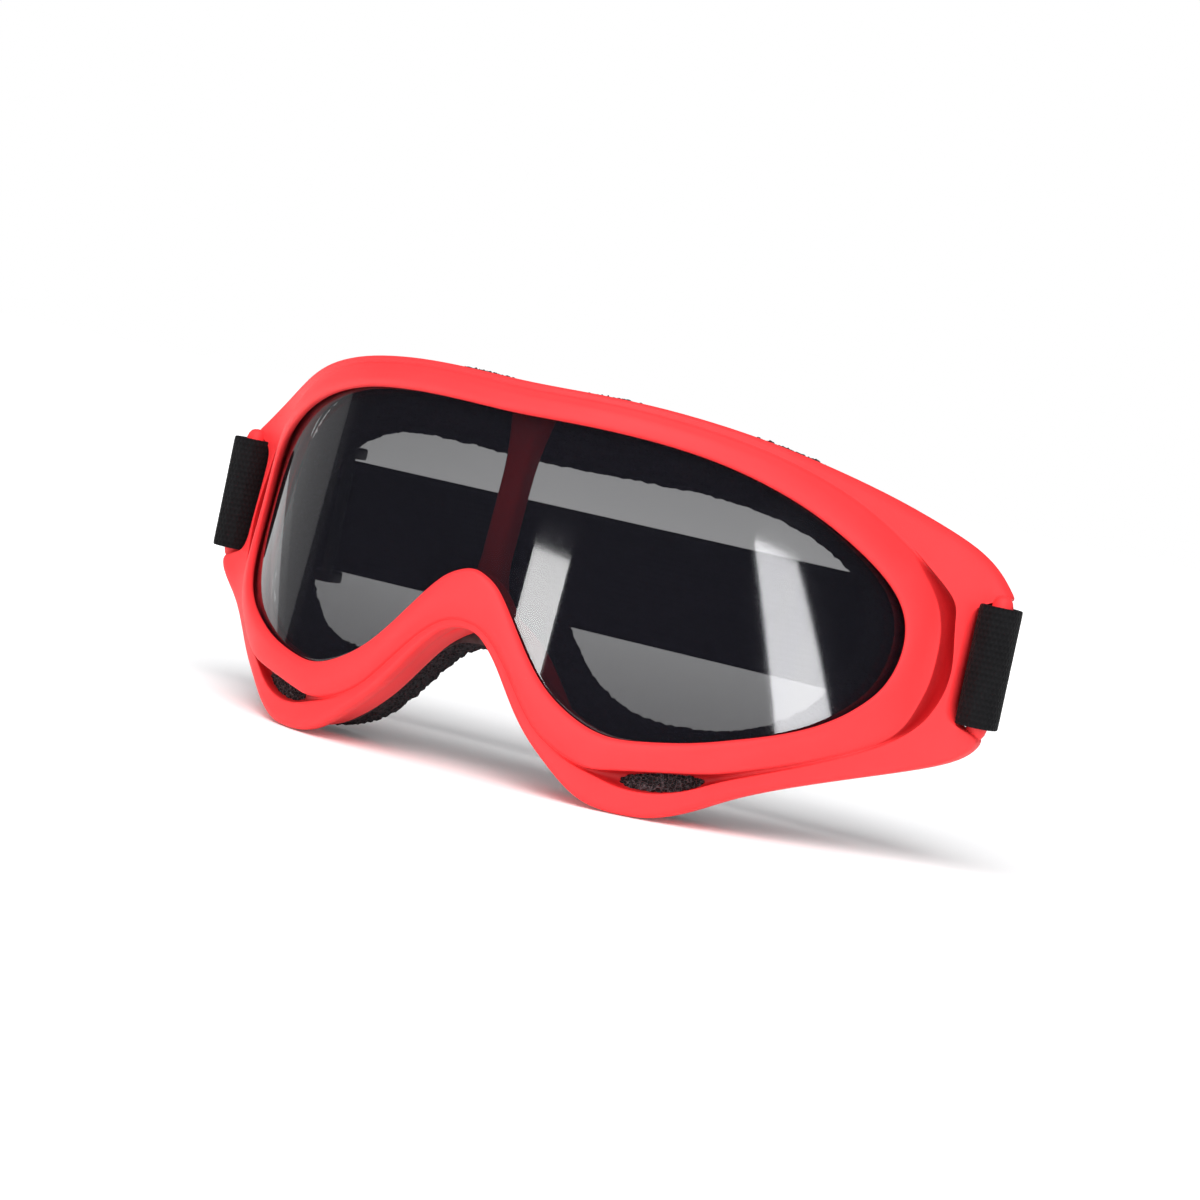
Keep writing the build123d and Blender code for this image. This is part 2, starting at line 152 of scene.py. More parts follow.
# The strap round the right bar, in plan, from the front layer to the back layer.
LOOP_PATH = [
    (80, 63.3), (81.6, 63.3), (84, 63.3), (85.9, 62.7), (86.6, 60.9), (86.6, 58.6), (86.6, 56.4),
    (87, 54.7), (88.2, 53.3), (90.2, 52.7), (92.2, 53.3), (93.4, 54.7), (93.8, 56.4), (93.7, 58.4),
    (92.9, 60.7), (91.3, 62.8), (89, 64.4), (86, 65), (83, 65), (80, 65),
]

# The sewn end in plan, from the loop, in front of the adjuster's middle bar, round it and back.
END_PATH = [
    (79.7, 65.2), (78.4, 65.2), (77, 65.2), (75.6, 65.25), (74.3, 65.35), (73, 65.4), (71.9, 65.5),
    (71.2, 65.9), (71, 66.5), (71, 67.3), (71.2, 67.9), (71.9, 68.3), (73, 68.4), (74, 68.25),
    (74.9, 67.8), (75.8, 67.2), (76.8, 66.95), (78, 66.9), (79.3, 66.9),
]


# ---------------------------------------------------------------- surfaces

def place(x, y, z):
    """A point of the goggles, in millimetres about the bridge, as a point of the scene."""
    return Vector((x * MM, (y - BRIDGE_SETBACK) * MM, (z + BRIDGE_HEIGHT) * MM))


def leaned(plan_y, z):
    """Depth of a plan curve at height z, with the goggles' lean."""
    return (plan_y + z * math.sin(LEAN)) / math.cos(LEAN)


def lens_depth(x, z, height=0.0):
    """Depth of the lens front, or of a surface that stands proud of it by height."""
    radius = LENS_RADIUS + height
    return leaned(LENS_RADIUS - math.sqrt(max(radius ** 2 - x ** 2, 1.0)), z)


def arc_depth(x, z, arc):
    """Depth of one of the face-side arcs, given as its depth at the bridge and its radius."""
    start, radius = arc
    return leaned(start + radius - math.sqrt(radius ** 2 - x ** 2), z)


def hermite(x, low, high):
    """Smooth curve between two (x, y, slope) knots."""
    span = high[0] - low[0]
    t = (x - low[0]) / span
    s = 1 - t
    rise = low[1] * (1 + 2 * t) * s * s + high[1] * (1 + 2 * s) * t * t
    return rise + span * (low[2] * t * s * s - high[2] * s * t * t)


def plate_depth(x, z):
    """Depth of the front plate: it leaves the lens sweep near the temples and flares to the bars."""
    x = min(abs(x), 93.2)
    if x <= TURN_X:
        return leaned(LENS_RADIUS - math.sqrt(PLATE_RADIUS ** 2 - x ** 2), z)
    knots = [(TURN_X, 34.17, 1.312), (82.4, 51.4, 1.09), (87, 55.0, 0.43), (93.2, 56.0, 0.1)]
    for low, high in zip(knots, knots[1:]):
        if x <= high[0]:
            return leaned(hermite(x, low, high), z)
    return leaned(knots[-1][1], z)


def smooth_line(points, steps=24):
    """Close points along a smooth line through the given ones."""
    ends = [points[0]] + list(points) + [points[-1]]
    line = []
    for a, b, c, d in zip(ends, ends[1:], ends[2:], ends[3:]):
        for step in range(steps):
            t = step / steps
            line.append(tuple(
                0.5 * (2 * q + (r - p) * t + (2 * p - 5 * q + 4 * r - s) * t * t
                       + (3 * q - p - 3 * r + s) * t ** 3)
                for p, q, r, s in zip(a, b, c, d)))
    line.append(tuple(points[-1]))
    return line


def snapped(point, line):
    """The place on a line nearest to a point."""
    return Vector(min(line, key=lambda p: (p[0] - point[0]) ** 2 + (p[1] - point[1]) ** 2))


# ---------------------------------------------------------------- mesh helpers

def finished(name, mesh, material, smooth=True):
    """A new object for a bmesh, at the origin."""
    data = bpy.data.meshes.new(name)
    mesh.to_mesh(data)
    mesh.free()
    for face in data.polygons:
        face.use_smooth = smooth
    obj = bpy.data.objects.new(name, data)
    bpy.context.scene.collection.objects.link(obj)
    obj.data.materials.append(material)
    return obj


def add_modifier(obj, kind, **settings):
    """Add one modifier with its settings."""
    modifier = obj.modifiers.new(kind.title(), kind)
    for key, value in settings.items():
        setattr(modifier, key, value)
    return modifier


def subdivide(obj, levels):
    """Smooth a piece, as finely in the view as in a render."""
    add_modifier(obj, "SUBSURF", levels=levels, render_levels=levels)


def apply_all(obj):
    """Turn the modifiers of a piece into its mesh."""
    graph = bpy.context.evaluated_depsgraph_get()
    graph.update()
    data = bpy.data.meshes.new_from_object(obj.evaluated_get(graph))
    obj.modifiers.clear()
    old = obj.data
    obj.data = data
    bpy.data.meshes.remove(old)
    data.name = obj.name
    return obj


def extruded_strip(rows, shade_marks=None):
    """A strip of quads: the first loop of every row is an edge chain, extruded once for each loop.
    Marks, if given, are stored on the points as painted shade: how much each point is darkened."""
    mesh = bmesh.new()
    painted_recess_shade = mesh.verts.layers.float.new("painted_recess_shade") if shade_marks else None
    chain = [mesh.verts.new(row[0]) for row in rows]
    edges = [mesh.edges.new(pair) for pair in zip(chain, chain[1:])]
    for loop in range(1, len(rows[0])):
        made = bmesh.ops.extrude_edge_only(mesh, edges=edges)["geom"]
        fresh = {v for v in made if isinstance(v, bmesh.types.BMVert)}
        mesh.verts.ensure_lookup_table()
        following = []
        for vert in chain:
            link = next(e for e in vert.link_edges if e.other_vert(vert) in fresh)
            following.append(link.other_vert(vert))
        for index, (vert, row) in enumerate(zip(following, rows)):
            vert.co = row[loop]
            if shade_marks:
                vert[painted_recess_shade] = shade_marks[index][loop]
        edges = [next(e for e in a.link_edges if e.other_vert(a) is b)
                 for a, b in zip(following, following[1:])]
        chain = following
    return mesh


def mirror_half(mesh):
    """Add the left half and close the seams."""
    bmesh.ops.mirror(mesh, geom=mesh.verts[:] + mesh.edges[:] + mesh.faces[:], axis="X",
                     merge_dist=0.00002)
    bmesh.ops.remove_doubles(mesh, verts=mesh.verts[:], dist=0.00002)
    bmesh.ops.recalc_face_normals(mesh, faces=mesh.faces[:])
    return mesh


def rounded_box(size, centre, bevel, segments=3):
    """A block with rounded edges, in millimetres about the bridge."""
    mesh = bmesh.new()
    bmesh.ops.create_cube(mesh, size=1.0)
    bmesh.ops.scale(mesh, vec=Vector(size) * MM, verts=mesh.verts[:])
    bmesh.ops.bevel(mesh, geom=mesh.edges[:], offset=bevel * MM, offset_type="OFFSET",
                    segments=segments, profile=0.5, affect="EDGES", material=-1)
    bmesh.ops.translate(mesh, vec=place(*centre), verts=mesh.verts[:])
    return mesh


def joined(meshes):
    """Several bmeshes as one."""
    whole = meshes[0]
    for extra in meshes[1:]:
        data = bpy.data.meshes.new("part")
        extra.to_mesh(data)
        extra.free()
        whole.from_mesh(data)
        bpy.data.meshes.remove(data)
    return whole


def faced(mesh, axis, sign):
    """Turn all the faces of a sheet so that together they look along an axis, or against it."""
    bmesh.ops.recalc_face_normals(mesh, faces=mesh.faces[:])
    if sum(face.normal[axis] * face.calc_area() for face in mesh.faces) * sign < 0:
        bmesh.ops.reverse_faces(mesh, faces=mesh.faces[:])
    return mesh


def flipped(mesh):
    """The mirror image across the middle of the goggles, with its faces still outward."""
    bmesh.ops.scale(mesh, vec=(-1, 1, 1), verts=mesh.verts[:])
    bmesh.ops.reverse_faces(mesh, faces=mesh.faces[:])
    return mesh


def roughen(obj, size, amount, seed):
    """Move the points of a foam piece in and out in cells of one size, in millimetres."""
    offset = Vector((seed * 3.1, seed * 1.7, seed * 2.3))
    outward = [vert.normal.copy() for vert in obj.data.vertices]
    for vert, way in zip(obj.data.vertices, outward):
        cell = noise.noise(vert.co / (size * MM) + offset)
        fine = noise.noise(vert.co / (size * 0.45 * MM) + offset)
        vert.co += way * (amount * MM) * (cell + 0.6 * fine)
    obj.data.update()


# ---------------------------------------------------------------- materials

class Value:
    """One number of a shader. Sums and products of these add their Math nodes."""

    def __init__(self, graph, socket):
        self.graph = graph
        self.socket = socket

    def _with(self, operation, first, second=0.0):
        return self.graph.node("ShaderNodeMath", {"operation": operation}, [first, second])

    def __add__(self, other):
        return self._with("ADD", self, other)

    def __radd__(self, other):
        return self._with("ADD", other, self)

    def __mul__(self, other):
        return self._with("MULTIPLY", self, other)

    def __rmul__(self, other):
        return self._with("MULTIPLY", other, self)

    def sine(self):
        return self._with("SINE", self)

    def floor(self):
        return self._with("FLOOR", self)


class Graph:
    """A node tree, with one method that adds nodes to it."""

    def __init__(self, tree):
        self.tree = tree

    def node(self, kind, settings=None, values=None, output=0):
        """Add a node: its settings first, then the values or links of its sockets."""
        made = self.tree.nodes.new(kind)
        for key, value in (settings or {}).items():
            setattr(made, key, value)
        items = enumerate(values) if isinstance(values, list) else (values or {}).items()
        for key, value in items:
            self.put(made.inputs[key], value)
        return Value(self, made.outputs[output])

    def put(self, socket, value):
        """Link a value to a socket, or set the socket."""
        if isinstance(value, Value):
            self.tree.links.new(value.socket, socket)
        else:
            socket.default_value = value

    def mix(self, factor, first, second):
        """A colour between two colours."""
        return self.node("ShaderNodeMix", {"data_type": "RGBA"}, {0: factor, 6: first, 7: second},
                         output=2)


class Finish(Graph):
    """A material being made, with one Principled shader."""

    def __init__(self, name):
        self.material = bpy.data.materials.new(name)
        self.material.use_nodes = True
        super().__init__(self.material.node_tree)
        self.shader = self.tree.nodes["Principled BSDF"]

    def coordinates(self, kind="Object"):
        """The place on the piece."""
        return self.node("ShaderNodeTexCoord", output=kind)

    def scaled(self, place_on, scale):
        """The same place with each axis scaled."""
        return self.node("ShaderNodeVectorMath", {"operation": "MULTIPLY"}, [place_on, scale])

    def noise(self, place_on, scale, detail=3.0, roughness=0.6):
        """Cloudy pattern, so many cells to the metre."""
        return self.node("ShaderNodeTexNoise", None, {
            "Vector": place_on, "Scale": scale, "Detail": detail, "Roughness": roughness})

    def cells(self, place_on, scale, feature="F1"):
        """Rounded cells, so many to the metre."""
        return self.node("ShaderNodeTexVoronoi", {"feature": feature}, {
            "Vector": place_on, "Scale": scale})

    def spread(self, value, low, high, floor=0.0, top=1.0):
        """Stretch a value so that low becomes floor and high becomes top, kept between them."""
        return self.node("ShaderNodeMapRange", {"clamp": True}, [value, low, high, floor, top])

    def axis(self, place_on, index):
        """One coordinate of a place."""
        return self.node("ShaderNodeSeparateXYZ", None, [place_on], output=index)

    def bump(self, height, distance, strength=1.0):
        """Raise the surface by a height, in metres at full strength."""
        return self.node("ShaderNodeBump", None, {
            "Strength": strength, "Distance": distance, "Height": height})

    def finish(self, **sockets):
        """Set the shader's sockets, with _ for a space in a name."""
        for key, value in sockets.items():
            self.put(self.shader.inputs[key.replace("_", " ")], value)
        return self.material


def rgba(colour, gain=1.0):
    """A colour with full alpha, lightened or darkened."""
    return tuple(min(max(c * gain, 0.0), 1.0) for c in colour[:3]) + (1.0,)


def soft_red(colour):
    """Satin soft-touch plastic: a very fine pebble, faint mottling and dust, with painted shade: points
    marked as lying in recesses are darkened toward a deep red.
    """
    f = Finish("satin_red_plastic")
    at = f.coordinates()
    mottle = f.spread(f.noise(at, 70.0, 3.0), 0.35, 0.65)
    pebble = f.noise(at, 3800.0, 2.0)
    dust = f.spread(f.noise(at, 900.0, 4.0, 0.75), 0.66, 0.8)
    painted_recess_shade = f.node("ShaderNodeAttribute", {"attribute_name": "painted_recess_shade"}, output="Fac")
    shade = f.mix(mottle, rgba(colour, 0.96), rgba(colour, 1.03))
    # Painted shade: the lens groove, the valleys and the centre post are darkened toward this deep red.
    shade = f.mix(painted_recess_shade * 0.85, shade, (0.42, 0.006, 0.009, 1.0))
    shade = f.mix(dust * 0.12, shade, (0.92, 0.2, 0.2, 1.0))
    return f.finish(Base_Color=shade, Roughness=0.46 + pebble * 0.16 + dust * 0.1,
                    Specular_IOR_Level=0.38, Normal=f.bump(pebble, 0.00006, 0.5))


def smoke_sheet(colour, alpha):
    """Polished smoke tint: nearly black, see-through, with the faintest smears. It covers more of the view
    toward its bottom and its left: painted shade for the darker view through the lens there.
    """
    f = Finish("smoke_lens")
    at = f.coordinates()
    smear = f.spread(f.noise(f.scaled(at, (60.0, 60.0, 160.0)), 1.0, 4.0), 0.45, 0.75)
    # Painted shade: less see-through toward the bottom and the left of the lens.
    below = f.spread(f.axis(at, 2), 0.055, 0.022)
    left = f.spread(f.axis(at, 0), 0.01, -0.045)
    return f.finish(Base_Color=rgba(colour), Roughness=0.03 + smear * 0.008,
                    Alpha=below * 0.1 + left * 0.04 + alpha,
                    IOR=1.58, Specular_IOR_Level=0.62)


def face_foam_finish(colour):
    """Black open-cell foam."""
    f = Finish("black_face_foam")
    at = f.coordinates()
    pores = f.spread(f.cells(at, 1500.0), 0.1, 0.6)
    grain = f.noise(at, 2600.0, 2.0)
    shade = f.mix(pores, rgba(colour, 0.45), rgba(colour, 1.9))
    return f.finish(Base_Color=shade, Roughness=0.94, Specular_IOR_Level=0.12,
                    Normal=f.bump(pores * 0.7 + grain * 0.5, 0.0006, 0.9))


def vent_foam_finish(colour):
    """Coarse reticulated foam: a pale web over dark pores."""
    f = Finish("grey_vent_foam")
    at = f.coordinates()
    web = f.spread(f.cells(at, 1150.0, "DISTANCE_TO_EDGE"), 0.0, 0.16, 1.0, 0.0)
    fleck = f.spread(f.noise(at, 1400.0, 2.0), 0.55, 0.7)
    shade = f.mix(web, rgba(colour, 0.22), rgba(colour, 2.3))
    shade = f.mix(fleck * 0.5, shade, rgba(colour, 5.0))
    return f.finish(Base_Color=shade, Roughness=0.9, Specular_IOR_Level=0.2,
                    Normal=f.bump(web + fleck * 0.4, 0.0005, 1.0))


def elastic_finish(colour):
    """Woven elastic: ribs along the band, crossed by the weft."""
    f = Finish("woven_elastic")
    uv = f.coordinates("UV")
    along = f.axis(uv, 0)
    across = f.axis(uv, 1)
    turn = 2 * math.pi
    rib_pitch = 1.25
    weft_pitch = 0.85
    rib = (across * (turn / rib_pitch)).sine() * 0.5 + 0.5
    step = (across * (1 / rib_pitch)).floor()
    weft = (along * (turn / weft_pitch) + step * math.pi).sine() * 0.5 + 0.5
    fuzz = f.noise(f.coordinates(), 3200.0, 3.0)
    worn = f.spread(f.noise(f.coordinates(), 160.0, 3.0), 0.35, 0.7)
    weave = rib * 0.55 + weft * 0.45
    shade = f.mix(weave, rgba(colour, 0.55), rgba(colour, 1.5))
    shade = f.mix(worn * 0.3 + fuzz * 0.12, shade, rgba(colour, 2.4))
    return f.finish(Base_Color=shade, Roughness=0.72 + fuzz * 0.2, Sheen_Weight=0.015,
                    Sheen_Roughness=0.5, Specular_IOR_Level=0.12,
                    Normal=f.bump(weave + fuzz * 0.35, 0.00022, 0.8))


def black_plastic_finish(colour):
    """Moulded black plastic with a fine spark-eroded grain."""
    f = Finish("black_buckle_plastic")
    at = f.coordinates()
    grain = f.noise(at, 2400.0, 3.0)
    wear = f.spread(f.noise(at, 260.0, 4.0, 0.7), 0.58, 0.72)
    shade = f.mix(wear * 0.35 + grain * 0.1, rgba(colour), rgba(colour, 3.0))
    return f.finish(Base_Color=shade, Roughness=0.36 + grain * 0.18 + wear * 0.12,
                    Normal=f.bump(grain, 0.00008, 0.6))


def thread_finish(colour):
    """Twisted polyester thread."""
    f = Finish("black_thread")
    twist = f.node("ShaderNodeTexWave", {"bands_direction": "DIAGONAL"}, {
        "Vector": f.coordinates(), "Scale": 620.0, "Distortion": 0.6})
    shade = f.mix(twist, rgba(colour, 0.6), rgba(colour, 2.2))
    return f.finish(Base_Color=shade, Roughness=0.58, Normal=f.bump(twist, 0.0001, 0.8))


def tape_finish(colour):
    """Grey-black adhesive with a mottled, slightly glossy edge."""
    f = Finish("adhesive_tape")
    at = f.coordinates()
    patch = f.spread(f.noise(at, 500.0, 3.0), 0.4, 0.6)
    shade = f.mix(patch, rgba(colour, 0.7), rgba(colour, 1.3))
    return f.finish(Base_Color=shade, Roughness=0.5 + patch * 0.2,
                    Normal=f.bump(patch, 0.00005, 0.5))


def floor_finish(colour):
    """Pale matt floor with a barely visible grain, brighter with distance."""
    f = Finish("pale_floor")
    at = f.coordinates()
    grain = f.noise(at, 60.0, 3.0)
    away = f.node("ShaderNodeVectorMath", {"operation": "LENGTH"}, [at], output="Value")
    far = f.spread(away, 0.12, 0.9)
    shade = f.mix(grain, rgba(colour, 0.99), rgba(colour, 1.0))
    glow = f.mix(far, (0.06, 0.06, 0.06, 1.0), (0.7, 0.7, 0.7, 1.0))
    return f.finish(Base_Color=shade, Roughness=0.9, Specular_IOR_Level=0.0,
                    Emission_Color=glow, Emission_Strength=1.0)


# ---------------------------------------------------------------- frame moulding

def frame_loops():
    """For each station round the right half, the points of the section, from the groove round the rim,
    valley, outer edge, side wall and foam flange back to the groove, and how much painted shade each point
    gets."""
    opening = smooth_line(APERTURE)
    rim_line = smooth_line(RIM)
    wall_line = smooth_line(SHELL)
    rows = []
    shade_marks = []
    for index, (a, r, width, depth, o, s) in enumerate(FRAME_ROWS):
        inner = snapped(a, opening)
        rim = snapped(r, rim_line)
        shell = snapped(s, wall_line)
        outer = Vector(o)
        if index in (0, len(FRAME_ROWS) - 1):
            inner.x = rim.x = shell.x = 0.0
        out = rim - inner
        span = out.length
        out.normalize()
        toward = outer - rim
        reach = toward.length
        toward = toward / reach
        valley = rim + toward * min(width, reach * 0.7)
        skirt = outer - valley
        edge = min(1.3, skirt.length * 0.45)
        skirt_way = skirt.normalized()
        wall_in = wall_normal(index, wall_line, shell)

        def rim_point(distance, height):
            at = inner + out * distance
            depth_there = min(lens_depth(at.x, at.y, height), plate_depth(at.x, at.y) + 0.2)
            return place(at.x, depth_there, at.y)

        def lens_point(distance, height):
            at = inner + out * distance
            return place(at.x, min(lens_depth(at.x, at.y, height), LIP_LIMIT), at.y)

        def plate_point(at, sunk):
            return place(at.x, plate_depth(at.x, at.y) + sunk, at.y)

        def seat_point(at, before):
            return place(at.x, arc_depth(at.x, at.y, SEAT) - before, at.y)

        soft = min(depth / 1.2, 1.0)
        back = min(plate_depth(shell.x, shell.y) + 6.0, arc_depth(shell.x, shell.y, SEAT) - 0.8)
        flange = shell + wall_in * 5.0
        pocket = shell + wall_in * 2.6
        rows.append([
            lens_point(2.65, -2.1),
            lens_point(2.65, 0.1),
            lens_point(0.2, 0.1),
            rim_point(0.0, 0.6),
            rim_point(0.3, 1.5),
            rim_point(1.1, 2.1),
            rim_point(span * 0.42, 2.2),
            rim_point(span * 0.7, 1.7 + 0.4 * soft),
            rim_point(span - 1.1 + 0.6 * soft, 0.9 + 0.9 * soft),
            rim_point(span - 0.1, 0.1 + 1.4 * soft),
            plate_point(rim, depth * 0.12 - 0.3 * soft),
            plate_point(rim, depth),
            plate_point(valley, depth),
            plate_point(valley + skirt_way * 0.03, depth * 0.1),
            plate_point(valley + skirt_way * 0.15, 0.0),
            plate_point(valley + skirt_way * min(0.9, skirt.length * 0.2), 0.0),
            plate_point(valley + skirt * 0.5, 0.0),
            plate_point(outer - skirt_way * edge, 0.0),
            plate_point(outer - skirt_way * edge * 0.25, 0.45),
            plate_point(outer, 1.6),
            plate_point(outer, 4.6),
            plate_point(outer - skirt_way * 0.5, 5.8),
            place(shell.x, back, shell.y),
            seat_point(shell, 0.5),
            seat_point(shell + wall_in * 0.5, 0.0),
            seat_point(flange, 0.0),
            seat_point(flange, 2.4),
            seat_point(pocket, 2.4),
            place(pocket.x, max(min(lens_depth(pocket.x, pocket.y, -4.2), LIP_LIMIT - 2.0),
                                min(plate_depth(pocket.x, pocket.y) + 2.5,
                                    arc_depth(pocket.x, pocket.y, SEAT) - 2.6)), pocket.y),
            lens_point(min(span * 0.5, 3.2), -4.2),
            lens_point(0.5, -4.2),
            lens_point(0.0, -3.4),
            lens_point(0.2, -2.1),
            lens_point(2.65, -2.1),
        ])
        # Painted shade: the points of the lens groove and of the valley's wall and floor are marked to be
        # darkened toward deep red.
        sunk = min(depth / 1.6, 1.0)
        row_shade = [0.0] * len(rows[-1])
        row_shade[0] = row_shade[1] = row_shade[2] = row_shade[-1] = 0.8
        for step, share in enumerate((0.75, 1.0, 1.0, 0.5)):
            row_shade[VALLEY_LOOP + step] = share * sunk
        shade_marks.append(row_shade)
    return rows, shade_marks


def height_at(line, x):
    """Height of an outline at x, for an outline that runs outward."""
    for (x0, z0), (x1, z1) in zip(line, line[1:]):
        if x0 <= x <= x1 and x1 > x0:
            return z0 + (z1 - z0) * (x - x0) / (x1 - x0)
    return line[-1][1]


def wall_normal(index, line, at):
    """Direction into the frame, across its side wall."""
    if index == 0:
        return Vector((0, -1))
    if index == len(FRAME_ROWS) - 1:
        return Vector((0, 1))
    here = min(range(len(line)), key=lambda i: (line[i][0] - at.x) ** 2 + (line[i][1] - at.y) ** 2)
    before = line[max(here - 6, 0)]
    after = line[min(here + 6, len(line) - 1)]
    way = Vector((after[0] - before[0], after[1] - before[1])).normalized()
    return Vector((way.y, -way.x))


def make_bar():
    """The round bar that the strap turns on, swelling into the frame at both ends."""
    mesh = bmesh.new()
    ring = bmesh.ops.create_circle(mesh, segments=24, radius=0.1 * MM, cap_ends=True)["verts"]
    bmesh.ops.translate(mesh, vec=place(BAR[0], BAR[1] + 1.2, -13.7), verts=ring)
    centre = place(BAR[0], BAR[1] + 1.2, 0)
    edges = mesh.edges[:]
    for z, radius in ((-13.6, 0.8), (-13.2, 1.4), (-12.4, 1.9), (-11.2, 2.2), (-10.0, 2.3), (13.0, 2.3),
                      (14.2, 2.2), (15.2, 1.9), (15.9, 1.4), (16.2, 0.8), (16.3, 0.1)):
        made = bmesh.ops.extrude_edge_only(mesh, edges=edges)["geom"]
        ring = [v for v in made if isinstance(v, bmesh.types.BMVert)]
        edges = [e for e in made if isinstance(e, bmesh.types.BMEdge)]
        for vert in ring:
            flat = Vector((vert.co.x - centre.x, vert.co.y - centre.y, 0)).normalized() * radius * MM
            vert.co = Vector((centre.x + flat.x, centre.y + flat.y, (z + BRIDGE_HEIGHT) * MM))
    bmesh.ops.contextual_create(mesh, geom=edges)
    bmesh.ops.recalc_face_normals(mesh, faces=mesh.faces[:])
    return mesh


def make_post():
    """The post between the two halves of the view, with a gusset under the brow."""
    mesh = bmesh.new()
    bmesh.ops.create_cube(mesh, size=1.0)
    bmesh.ops.scale(mesh, vec=(5.0 * MM, 5.6 * MM, 36.0 * MM), verts=mesh.verts[:])
    upright = [e for e in mesh.edges if abs(e.verts[0].co.z - e.verts[1].co.z) > 0.01]
    bmesh.ops.subdivide_edges(mesh, edges=upright, cuts=11, use_grid_fill=True)
    bmesh.ops.translate(mesh, vec=(0, 8.0 * MM, 14.6 * MM), verts=mesh.verts[:])
    for vert in mesh.verts:
        z = vert.co.z / MM
        flare = max(z - 18.0, 0.0) ** 2 * 0.018
        foot = max(3.0 - z, 0.0) ** 2 * 0.05
        vert.co.x *= 1 + (flare * 0.45 + foot * 0.6) / 2.5
        vert.co.y += 0.012 * MM * max(z - 18.0, 0.0)
    long_edges = [e for e in mesh.edges if abs(e.verts[0].co.z - e.verts[1].co.z) > 0.0005
                  and abs(abs(e.verts[0].co.y - 8.0 * MM) - 2.8 * MM) < 0.0006]
    bmesh.ops.bevel(mesh, geom=long_edges, offset=1.2 * MM, offset_type="OFFSET", segments=3,
                    profile=0.5, affect="EDGES", material=-1)
    for vert in mesh.verts:
        x, y, z = (c / MM for c in vert.co)
        vert.co = place(x, leaned(y, z), z)
    return mesh


# ---------------------------------------------------------------- vent foams

def make_lower_pad(side):
    """The domed pad behind one lower vent, a pointed oval that follows the plate."""
    middle_x, middle_z = LOWER_VENT
    slant = 0.17
    half_length = 7.4
    mesh = bmesh.new()
    bmesh.ops.create_grid(mesh, x_segments=40, y_segments=14, size=1.0)
    for vert in mesh.verts:
        u, v = vert.co.x, vert.co.y
        half = 2.5 * math.sqrt(max(1 - u ** 2, 0.0)) + 0.2
        x = middle_x + half_length * u + slant * half * v
        z = middle_z + slant * half_length * u + half * v
        sunk = 3.4 - 1.2 * (1 - u * u) * (1 - v * v)
        vert.co = place(x, plate_depth(x, z) + sunk, z)
    if side < 0:
        bmesh.ops.scale(mesh, vec=(-1, 1, 1), verts=mesh.verts[:])
    return faced(mesh, 1, -1)


def make_top_strip(side, span):
    """The crowned strip that fills one upper vent, from its front edge to the face side."""
    low_x, high_x = span
    wall_line = smooth_line(SHELL)
    mesh = bmesh.new()
    bmesh.ops.create_grid(mesh, x_segments=40, y_segments=16, size=1.0)
    for vert in mesh.verts:
        u, v = vert.co.x, vert.co.y
        x = (low_x + high_x) / 2 + (high_x - low_x) / 2 * u
        z = next(p[1] for p in wall_line if p[0] >= x)
        crown = (1 - u ** 6) * (1 - v ** 6)
        front = plate_depth(x, z) + 6.2
        back = arc_depth(x, z, SEAT) - 3.0
        y = front + (back - front) * (v + 1) / 2
        vert.co = place(x, y, z - 0.9 + 1.35 * crown)
    if side < 0:
        bmesh.ops.scale(mesh, vec=(-1, 1, 1), verts=mesh.verts[:])
    return faced(mesh, 2, 1)


def finish_foam(obj, thickness, roughness, seed, node):
    """Thicken and roughen a vent foam, and let it stand for its CAD node."""
    add_modifier(obj, "SOLIDIFY", thickness=thickness * MM, offset=-1.0)
    subdivide(obj, 1)
    apply_all(obj)
    roughen(obj, 0.9, roughness, seed)
    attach(obj, "frame")
    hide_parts(node)


# ---------------------------------------------------------------- straps

def ribbon(path, width, middle_z, across=10):
    """A flat band along a plan path: one edge across the band, extruded along the path. Its map runs
    along and across the band in millimetres."""
    rows = []
    for index in range(across + 1):
        z = middle_z - width / 2 + width * index / across
        rows.append([place(x, y, z) for x, y in path])
    mesh = extruded_strip(rows)
    layer = mesh.loops.layers.uv.new("UVMap")
    lengths = lengths_along(path)
    total = len(path)
    for face in mesh.faces:
        for corner in face.loops:
            flat = ((corner.vert.co.x / MM), (corner.vert.co.y / MM) + BRIDGE_SETBACK)
            step = min(range(total), key=lambda i: (path[i][0] - flat[0]) ** 2 + (path[i][1] - flat[1]) ** 2)
            corner[layer].uv = (lengths[step], corner.vert.co.z / MM)
    return mesh


def lengths_along(path):
    """How far along the path each point is, in millimetres."""
    done = [0.0]
    for a, b in zip(path, path[1:]):
        done.append(done[-1] + math.dist(a, b))
    return done


def thicken(obj, thickness, levels=2):
    """Give a band its thickness and soft edges."""
    add_modifier(obj, "SOLIDIFY", thickness=thickness * MM, offset=0.0, use_even_offset=True)
    add_modifier(obj, "BEVEL", width=0.35 * MM, segments=2, limit_method="ANGLE")
    subdivide(obj, levels)


